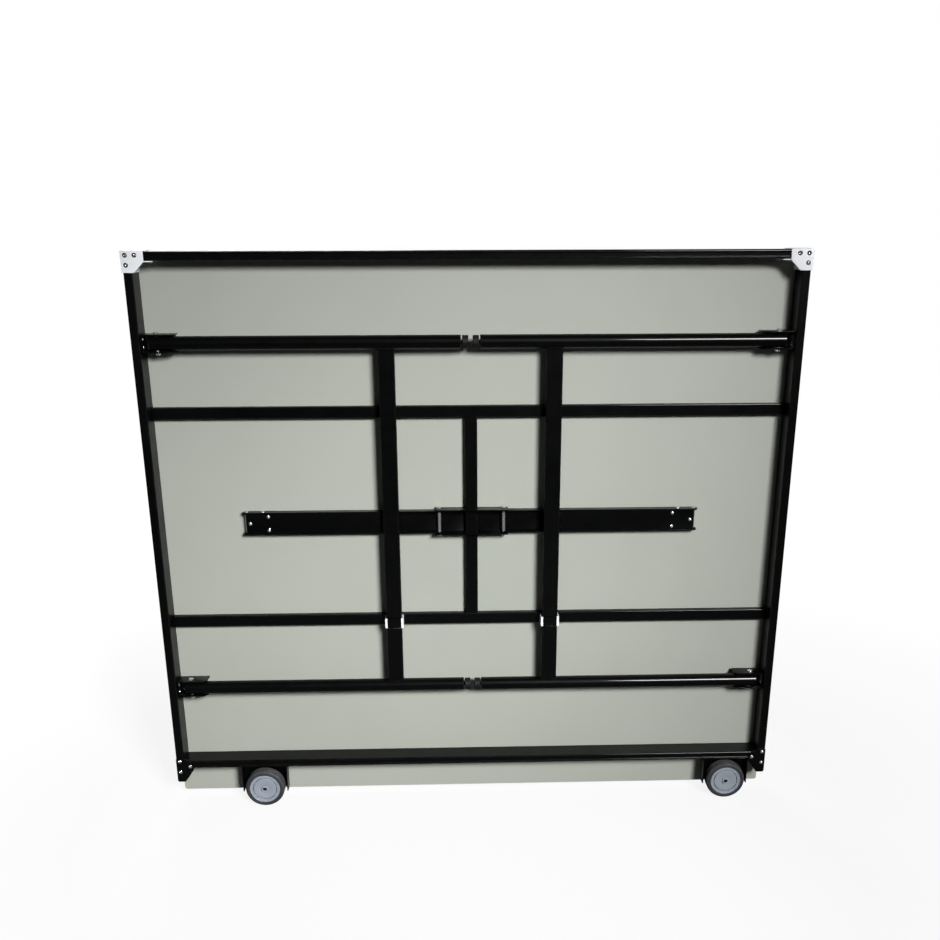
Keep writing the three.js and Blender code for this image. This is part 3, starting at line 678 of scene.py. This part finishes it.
# Leg frames: drawn tubes, cross bars with coped and welded ends, plugs and levelling feet
leg = {"wall": 1.5, "rim": 0.4, "sides": 64, "fit": 0.3}
weld = {"radius": 1.7, "swell": 0.16, "ripple": 2.4, "sides": 8, "points": 130}
plug = {"collar": 1.2, "wall": 1.8, "soft": 0.5}
foot = {
    "pad": 14, "radius": 15, "rim": 1.5, "stud": 4, "sides": 40,
    "ring": (9.6, 11.2, 0.7),     # a moulded ring in the flat face: radii and depth
    "ringSlope": 0.4, "centre": 1.5,
    "wallRows": 10, "wallEnd": 1,
    "flutes": {"count": 20, "depth": 0.45, "from": 3.2, "to": 11.0},
    "pitch": 1.25, "threadDeep": 0.55,
    "neck": (0.4, 0.8),           # from the pad to the stud's first ring and to its thread
    "tip": (0.8, 1),              # the stud's end: how much narrower, and how long
}


def middleOf(node):
    low, high = boxOf(node)
    return (low + high) / 2


def makeLegTube(node, s):
    low, high = boxOf(node)
    middle, radius = (low + high) / 2, (high[1] - low[1]) / 2
    at = (middle[2], middle[1])
    outer = circle(at, radius, s["sides"])
    inner = circle(at, radius - s["wall"], s["sides"])
    worn = np.zeros(s["sides"])
    standFor(node, node + "_drawn", [pipe("x", outer, inner, worn, low[0], high[0], s["rim"])])


def makeCrossBar(hand, s, w):
    # The bar's ends follow the tubes: an end's height is the tube's, less or plus
    # sqrt(reach^2 - distance from the tube's middle^2)
    node = hand + "_leg_cross_bar"
    low, high = boxOf(node)
    size, middle = high - low, (low + high) / 2
    outline, worn = roundedOutline(boxCorners(size[0], size[1], middle[:2]), rail["bend"])
    tubeLow, tubeHigh = boxOf(hand + "_upper_leg_tube")
    reach = (tubeHigh[1] - tubeLow[1]) / 2 + s["fit"]
    cope = np.sqrt(reach ** 2 - (outline[:, 1] - middle[1]) ** 2)
    ends = [middleOf(hand + "_lower_leg_tube")[2] + cope, middleOf(hand + "_upper_leg_tube")[2] - cope]
    rings = [along("z", outline, end) for end in ends]
    shells = [shellOf(np.array(rings), worn=worn[None, :])]
    for ring in rings:
        path = resampled(ring, w["points"])
        outwards = path - middle
        outwards[:, 2] = 0
        shells.append(weldBead(path, outwards, w))
    standFor(node, node + "_welded", shells)


def makeFootPlug(node, side, s):   # a sleeve with a collar, open for the stud
    low, high = boxOf(node)
    middle = (low + high) / 2
    outer, length = (high[1] - low[1]) / 2, high[0] - low[0]
    sleeve = outer - rail["wall"]
    bore = foot["stud"] + leg["fit"]
    soft = s["soft"]
    profile = [(bore, 0), (outer - soft, 0), (outer, soft), (outer, s["collar"]), (sleeve, s["collar"]),
               (sleeve, length - soft), (sleeve - soft, length), (bore, length)]
    at = (low[0] if side > 0 else high[0], middle[1], middle[2])
    standFor(node, node + "_moulded", [turned("x", at, profile, 48, True, sign=side)])


def makeFoot(node, side, s):
    low, high = boxOf(node)
    middle = (low + high) / 2
    length = high[0] - low[0]
    radius, rim, pad = s["radius"], s["rim"], s["pad"]
    ringIn, ringOut, ringDeep = s["ring"]
    slope, end = s["ringSlope"], s["wallEnd"]
    tipIn, tipLong = s["tip"]
    face = [(s["centre"], 0), (ringIn, 0), (ringIn + slope, ringDeep), (ringOut - slope, ringDeep),
            (ringOut, 0)]
    edge = arc((radius - rim, rim), rim, -90, 0, 4)
    wall = [(radius, h) for h in np.linspace(rim + end, pad - rim - end, s["wallRows"])]
    back = arc((radius - rim, pad - rim), rim, 0, 90, 4)
    stud = [(s["stud"], h) for h in np.arange(pad + s["neck"][0], length - tipLong, s["pitch"] / 4)]
    profile = face + edge + wall + back + stud + [(s["stud"] - tipIn, length)]
    thread = {"pitch": s["pitch"], "depth": s["threadDeep"]}
    thread["from"], thread["to"] = pad + s["neck"][1], length - tipLong
    at = (low[0] if side > 0 else high[0], middle[1], middle[2])
    shell = turned("x", at, profile, s["sides"], sign=side, thread=thread, flutes=s["flutes"])
    standFor(node, node + "_threaded", [shell])


def makeLegFrames():
    for hand, side in hands.items():
        makeCrossBar(hand, leg, weld)
        for level in levels:
            makeLegTube(f"{hand}_{level}_leg_tube", leg)
            makeFootPlug(f"{hand}_{level}_foot_plug", side, plug)
            makeFoot(f"{hand}_{level}_foot", side, foot)


makeLegFrames()
print("leg frames made")

# Bolts: a hexagon head above, a nut below, and a little thread past the nut
hexagon = np.cos(np.pi / 6)   # a hexagon's half width, as a share of its corner's radius
bolt = {
    "radius": 4, "corner": 6.5, "head": 4.5, "nut": 5, "tail": 1.5, "chamfer": 0.5,
    "pitch": 1.25, "threadDeep": 0.5, "threadStart": 0.35, "tip": 0.9,
    "face": 0.97, "crown": 0.92, "dish": (0.55, 0.25),    # shares of the half width, and the dish's depth
}


def boltProfile(length, s):
    corner, soft, shank = s["corner"], s["chamfer"], s["radius"]
    flat = corner * hexagon
    face = flat * s["face"]
    nutTop, headLow = s["tail"] + s["nut"], length - s["head"]
    tail = [(shank - s["tip"], 0, 0)]
    tail += [(shank, h, 0) for h in np.arange(s["threadStart"], s["tail"], s["pitch"] / 4)]
    nut = [(shank, s["tail"], 0), (face, s["tail"], flat), (corner, s["tail"] + soft, flat),
           (corner, nutTop - soft, flat), (face, nutTop, flat), (shank, nutTop, 0)]
    head = [(shank, headLow, 0), (face, headLow, flat), (corner, headLow + 0.6 * soft, flat),
            (corner, length - 1.4 * soft, flat), (flat * s["crown"], length, flat),
            (flat * s["dish"][0], length - s["dish"][1], 0)]
    return tail + nut + head


def makeBolt(node, s):
    low, high = boxOf(node)
    middle = (low + high) / 2
    thread = {"pitch": s["pitch"], "depth": s["threadDeep"], "from": 0.3, "to": s["tail"]}
    shell = turned("z", (middle[0], middle[1], low[2]), boltProfile(high[2] - low[2], s), 48, thread=thread)
    standFor(node, node + "_with_nut", [shell], sharp=25)


for hand in hands:
    makeBolt(hand + "_brace_pivot_bolt", bolt)
    for level in levels:
        makeBolt(f"{hand}_{level}_hinge_bolt", bolt)
print("bolts made")

# Hinge brackets: folded plates, each held to the side rail with two pulled rivets
hinge = {"soft": 0.5, "web": 3, "rivetSpread": 18, "rivetDepth": 9}
rivetHead = {"radius": 3.4, "rise": 1.5, "hole": 1.0, "holeDeep": 0.6}


def makeHinges(s):
    for hand, side in hands.items():
        shells = []
        for level in levels:
            node = f"{hand}_{level}_hinge_bracket"
            softCopy(node, node + "_folded", s["soft"])
            low, high = boxOf(node)
            web = (high[0] if side > 0 else low[0]) - side * s["web"]
            for up in (-0.5, 0.5):
                at = (web, low[1] + s["rivetDepth"], (low[2] + high[2]) / 2 + up * s["rivetSpread"])
                shells.append(rivet("x", at, rivetHead, -side))
        makePiece(hand + "_hinge_rivets", shells, "zinc", "frame")


makeHinges(hinge)
print("hinge brackets made")

# Centre bracket and braces: folded channels; screws hold the knee block behind the lower link's web
brace = {
    "soft": 0.45,
    "screwIn": 9,                 # from the knee pivot to the single screw
    "pairIn": 53, "pairUp": 17,   # the pair of screws further in
    "rivetIn": 39,
    "turn": 32,
}
kneeScrew = {"radius": 4.0, "rim": 0.6, "rise": 1.5, "slot": 0.45, "deep": 1.0}
kneeRivet = {"radius": 4.4, "rise": 2.0, "hole": 1.1, "holeDeep": 0.5}
pinSoft = 0.5


def makePin(node):
    low, high = boxOf(node)
    middle, length, radius = (low + high) / 2, high[2] - low[2], (high[0] - low[0]) / 2
    profile = [(radius - pinSoft, 0), (radius, pinSoft),
               (radius, length - pinSoft), (radius - pinSoft, length)]
    standFor(node, node + "_chamfered", [turned("z", (middle[0], middle[1], low[2]), profile, 32)])


def makeBraces(s):
    softCopy("brace_bracket", "brace_bracket_folded", s["soft"])
    for hand, side in hands.items():
        for part in ("upper_brace_link", "lower_brace_link", "brace_lug", "knee_block"):
            softCopy(f"{hand}_{part}", f"{hand}_{part}_folded", s["soft"])
        makePin(hand + "_knee_pin")
        makePin(hand + "_brace_lug_pin")
        pin = middleOf(hand + "_knee_pin")
        front = boxOf(hand + "_lower_brace_link")[0][1]
        spots = [(s["screwIn"], 0), (s["pairIn"], s["pairUp"]), (s["pairIn"], -s["pairUp"])]
        places = [(pin[0] - side * inwards, front, pin[2] + up) for inwards, up in spots]
        screws = [screwHead("y", at, kneeScrew, -1, s["turn"], 1) for at in places]
        makePiece(hand + "_knee_screws", screws, "zinc", hand + "_lower_brace")
        upperLow, upperHigh = boxOf(hand + "_upper_brace_link")
        rivets = [rivet("z", (pin[0] - side * inwards, pin[1], z), kneeRivet, way)
                  for inwards in (0, s["rivetIn"]) for z, way in ((upperHigh[2], 1), (upperLow[2], -1))]
        makePiece(hand + "_knee_rivets", rivets, "zinc", hand + "_upper_brace")


makeBraces(brace)
print("braces made")

# Corners: moulded white guards at the player's end, steel plates at the net side, three screws each
guard = {
    "soft": 0.8,
    "screws": ((10.5, 10), (31, 10), (10.5, 31)),     # from the side, from the top
    # the dark rings round the screws are painted shade, standing in for the shaded gaps round the screw heads
    "ringOut": 5.2, "ringIn": 2.6, "ringHigh": 0.5,
    "ringTurn": (0.5, 2.64),      # its half round starts and ends a little above the guard
}
guardScrew = {"radius": 2.5, "rim": 0.2, "rise": 0.5, "slot": 0.5, "deep": 0.6}
plate = {
    # from the side, from the rail
    "outline": ((0, 28), (21, 28), (41, 17), (46, 2), (42, -6), (20, -38), (0, -38)),
    "bends": (1.5, 5, 4, 4, 4, 5, 5),
    "screws": ((9, 21), (35, 6), (9, -10)),
    "soft": 0.6,
}
plateScrew = {"radius": 4.4, "rim": 0.7, "rise": 2.0, "slot": 0.35, "deep": 0.7}


def screwShadowRing(at, s):   # painted shade: a low dark ring, half round in section, standing in for the shaded gap round a screw head
    middle, half = (s["ringOut"] + s["ringIn"]) / 2, (s["ringOut"] - s["ringIn"]) / 2
    profile = [(middle - half, 0), (middle + half, 0)]
    turns = np.linspace(*s["ringTurn"], 6)
    profile += [(middle + half * np.cos(t), s["ringHigh"] * np.sin(t)) for t in turns]
    return turned("y", at, profile, 32, True, sign=-1)


def makeCorners(g, p):
    for hand, side in hands.items():
        node = hand + "_corner_guard"
        softCopy(node, node + "_moulded", g["soft"], 3)
        low, high = boxOf(node)
        outer = high[0] if side > 0 else low[0]
        spots = [(outer - side * a, low[1], high[2] - b) for a, b in g["screws"]]
        # painted shade: black rings where the gaps round the guard screws lie in shadow
        makePiece(node + "_screw_shadow_rings", [screwShadowRing(at, g) for at in spots], "black_plastic", "frame")
        makePiece(node + "_screws", [screwHead("y", at, guardScrew) for at in spots], "zinc", "frame")
        node = hand + "_net_corner_plate"
        low, high = boxOf(node)
        outer = high[0] if side > 0 else low[0]
        railLow = boxOf("net_rail")[0][2]
        corners = [(outer - side * a, railLow + b) for a, b in p["outline"]]
        outline, worn = roundedOutline(corners, p["bends"], 5)
        standFor(node, node + "_pressed", [bar("y", outline, worn, low[1], high[1], p["soft"])])
        spots = [(outer - side * a, low[1], railLow + b) for a, b in p["screws"]]
        makePiece(node + "_screws", [screwHead("y", at, plateScrew) for at in spots], "zinc", "frame")


makeCorners(guard, plate)
print("corners made")

# Snap clips: one moulded outline with hooked arms
clip = {"wall": 3, "lip": 2.5, "lipRun": 2.6, "outerBend": 1.4, "innerBend": 0.8, "tipBend": 1.0, "soft": 0.7}


def makeClip(hand, s):
    node = hand + "_leg_clip"
    low, high = boxOf(node)
    middle = (low[0] + high[0]) / 2
    out = (high[0] - low[0]) / 2
    half, front, back = out - s["wall"], low[1], high[1]
    hook, hookBack = half - s["lipRun"], front + s["lip"]
    right = [(out, back), (out, front), (hook, front), (hook, hookBack), (half, hookBack),
             (half, back - s["wall"])]
    bends = [s["outerBend"], s["outerBend"], s["tipBend"], s["tipBend"], s["innerBend"], s["innerBend"]]
    corners = [(middle + x, y) for x, y in right] + [(middle - x, y) for x, y in right[::-1]]
    outline, worn = roundedOutline(corners, bends + bends[::-1])
    standFor(node, node + "_moulded", [bar("z", outline, worn * 0, low[2], high[2], s["soft"])])


for hand in hands:
    makeClip(hand, clip)
print("clips made")

# Wheels: a tyre with a grooved tread, a dished hub with a ring groove, and a socket-headed axle bolt
tyre = {
    "thick": 11, "shoulder": 7, "sides": 96,
    "side": ((0, 1.2), (0.5, 0.5), (1.4, 0.6), (2.2, 0.6), (2.8, 0)),   # out from the bead, in from the side
    "groove": 4.0, "grooveWide": 1.6, "grooveDeep": 0.8, "grooveSlope": 0.3,
    "wearDeep": 3,      # the tread's dust reaches this far in
}
hub = {
    "bore": 5.3, "disc": 12.3, "band": 13.0, "edge": 14.2,    # a radius, and heights from the middle
    "seat": (8.6, 9.2), "rise": (0.25, 0.4, 0.1),             # the flat under the cap, the disc's low crown
    "ring": 30.2, "ringWide": 1.8, "ringDeep": 4.5, "ringSlope": 0.2, "ringSoft": 0.5,
    "drop": 0.3, "rim": (2.7, 2.1, 1.6, 0.6),                 # the rim's steps, in from the outside
}
cap = {
    "outer": 8.4, "inner": 4.9, "high": 3.9, "soft": 0.6,
    "plug": 4.85, "plugIn": 1.3, "plugDeep": 1.6,
    "domeTop": 0.4, "domeShare": 0.6, "domeSoft": 0.5, "domeDrops": (0.15, 0.5, 1),
}
axle = {
    "radius": 5, "head": 8, "headIn": 0.7, "headHigh": 3.0, "soft": 0.5, "round": (0.15, 0.4),
    "socket": 4.6, "socketDeep": 3.2, "socketShares": (0.9, 1.2), "socketSoft": (0.3, 0.4, 0.5),
    "nut": 6, "tail": 1.5, "face": 0.97, "tip": (0.7, 0.6),
}


def mirrored(points):   # a profile's other half, so that the whole closes on itself
    return points + [(r, -h) for r, h in points[::-1]]


def tyreProfile(radius, half, s):
    # Out over the side wall, round the shoulder, and across the tread with its groove
    inner = radius - s["thick"]
    side = [(inner + out, half - deep) for out, deep in s["side"]]
    shoulder = arc((radius - s["shoulder"], half - s["shoulder"]), s["shoulder"], 90, 0, 8)
    floor, wide, at, slope = radius - s["grooveDeep"], s["grooveWide"] / 2, s["groove"], s["grooveSlope"]
    tread = [(radius, at + wide), (floor, at + wide - slope), (floor, at - wide + slope), (radius, at - wide)]
    return mirrored(side + shoulder + tread)


def hubProfile(outer, s):
    # From the bore over the disc, down into the ring groove, and up over the band to the rim
    disc, band, edge, drop = s["disc"], s["band"], s["edge"], s["drop"]
    inside, outside = s["ring"] - s["ringWide"] / 2, s["ring"] + s["ringWide"] / 2
    floor, slope, soft = disc - s["ringDeep"], s["ringSlope"], s["ringSoft"]
    near, crown, fall = s["rise"]
    bandEnd, stepTop, lipIn, lipOut = s["rim"]
    face = [(s["bore"], disc), (s["seat"][0], disc), (s["seat"][1], disc + near),
            (inside - soft, disc + crown), (inside, disc + fall), (inside + slope, floor),
            (outside - slope, floor), (outside, band - drop), (outside + soft, band),
            (outer - bandEnd, band), (outer - stepTop, edge - drop),
            (outer - lipIn, edge), (outer - lipOut, edge), (outer, edge - lipOut)]
    return mirrored(face)


def axleProfile(length, s):
    # From the socket's floor out over the head, along the shank, to the nut and tail
    head, soft, shank = s["head"], s["soft"], s["radius"]
    flat = head * hexagon
    face = flat * s["face"]
    floor, wall = [s["socket"] * share for share in s["socketShares"]]
    rise, lip, mouth = s["socketSoft"]
    roundIn, roundShare = s["round"]
    tipIn, tipLong = s["tip"]
    nutLow = length - s["tail"] - s["nut"]
    nutTop = nutLow + s["nut"]
    socket = [(floor, s["socketDeep"], s["socket"]), (wall, s["socketDeep"] - rise, s["socket"]),
              (wall, lip, s["socket"]), (wall + mouth, 0, 0)]
    rim = [(head - soft, 0, 0), (head - roundIn, soft * roundShare, 0), (head, soft, 0),
           (head, s["headHigh"], 0)]
    nut = [(shank, s["headHigh"], 0), (shank, nutLow, 0), (face, nutLow, flat), (head, nutLow + soft, flat),
           (head, nutTop - soft, flat), (face, nutTop, flat)]
    return socket + rim + nut + [(shank, nutTop, 0), (shank, length - tipLong, 0), (shank - tipIn, length, 0)]


def makeWheels():
    for hand in hands:
        softCopy(hand + "_wheel_bracket", hand + "_wheel_bracket_folded", hinge["soft"])
        node = hand + "_wheel_tyre"
        low, high = boxOf(node)
        middle = (low + high) / 2
        profile = tyreProfile((high[2] - low[2]) / 2, (high[1] - low[1]) / 2, tyre)
        treadLow = (high[2] - low[2]) / 2 - tyre["wearDeep"]
        worn = [1.0 if r > treadLow else 0.0 for r, h in profile]
        standFor(node, node + "_grooved", [turned("y", middle, profile, tyre["sides"], True, worn)], sharp=50)
        node = hand + "_wheel_hub"
        low, high = boxOf(node)
        profile = hubProfile((high[2] - low[2]) / 2, hub)
        standFor(node, node + "_dished", [turned("y", middle, profile, tyre["sides"], True)], sharp=30)
        node = hand + "_wheel_axle_bolt"
        low, high = boxOf(node)
        length = high[1] - low[1] - axle["headIn"]
        shell = turned("y", (middle[0], high[1] - length, middle[2]), axleProfile(length, axle), 48)
        standFor(node, node + "_socket_headed", [shell], sharp=25)
        front = (middle[0], low[1], middle[2])
        ring = [(cap["inner"], cap["soft"]), (cap["inner"] + cap["soft"], 0), (cap["outer"] - cap["soft"], 0),
                (cap["outer"], cap["soft"]), (cap["outer"], cap["high"]), (cap["inner"], cap["high"])]
        cover = turned("y", front, ring, 48, True)
        makePiece(hand + "_wheel_cap", [cover], "grey_plastic", hand + "_wheel")
        plugRadius, top = cap["plug"], cap["plugIn"]
        inwards = [top + drop for drop in cap["domeDrops"]]
        dome = [(cap["domeTop"], top), (plugRadius * cap["domeShare"], inwards[0]),
                (plugRadius - cap["domeSoft"], inwards[1]), (plugRadius, inwards[2]),
                (plugRadius, top + cap["plugDeep"])]
        makePiece(hand + "_axle_plug", [turned("y", front, dome, 32)], "black_plastic", hand + "_wheel")


makeWheels()
print("wheels made")

# Floor: pale, and brighter far away so that it runs into the background
ground = {
    "half": 9.0, "drop": 0.0004,
    "colour": (0.10, 0.10, 0.10), "roughness": 0.9, "shine": 0.1,
    "near": 0.86, "nearEnd": 1.0,     # the glow near the table, and how far it reaches
    "far": 1.0, "farStart": 2.3,
}


def makeFloor(s):
    m = startMaterial("pale_floor")
    nodes = m.node_tree.nodes
    shader = nodes["Principled BSDF"]
    shader.inputs["Base Color"].default_value = (*s["colour"], 1)
    shader.inputs["Roughness"].default_value = s["roughness"]
    shader.inputs["Specular IOR Level"].default_value = s["shine"]
    coords = nodeIn(m, "TexCoord")
    distance = nodeIn(m, "VectorMath")
    distance.operation = "LENGTH"
    join(m, coords.outputs["Object"], distance.inputs[0])
    glow = nodeIn(m, "Emission")
    strength = span(m, distance.outputs["Value"], s["nearEnd"], s["farStart"], s["near"], s["far"])
    join(m, strength, glow.inputs["Strength"])
    ray = nodeIn(m, "LightPath")
    dark = nodeIn(m, "Emission", Strength=0.0)
    pick = nodeIn(m, "MixShader")
    join(m, ray.outputs["Is Camera Ray"], pick.inputs["Fac"])
    join(m, dark.outputs["Emission"], pick.inputs[1])
    join(m, glow.outputs["Emission"], pick.inputs[2])
    total = nodeIn(m, "AddShader")
    join(m, shader.outputs["BSDF"], total.inputs[0])
    join(m, pick.outputs["Shader"], total.inputs[1])
    join(m, total.outputs["Shader"], nodes["Material Output"].inputs["Surface"])
    points = np.array([[-1, -1, 0], [1, -1, 0], [1, 1, 0], [-1, 1, 0]]) * s["half"] - [0, 0, s["drop"]]
    mesh = bpy.data.meshes.new("floor")
    mesh.from_pydata(points.tolist(), [], [[0, 1, 2, 3]])
    mesh.materials.append(m)
    floor = bpy.data.objects.new("floor", mesh)
    bpy.context.scene.collection.objects.link(floor)


makeFloor(ground)
print("floor made")
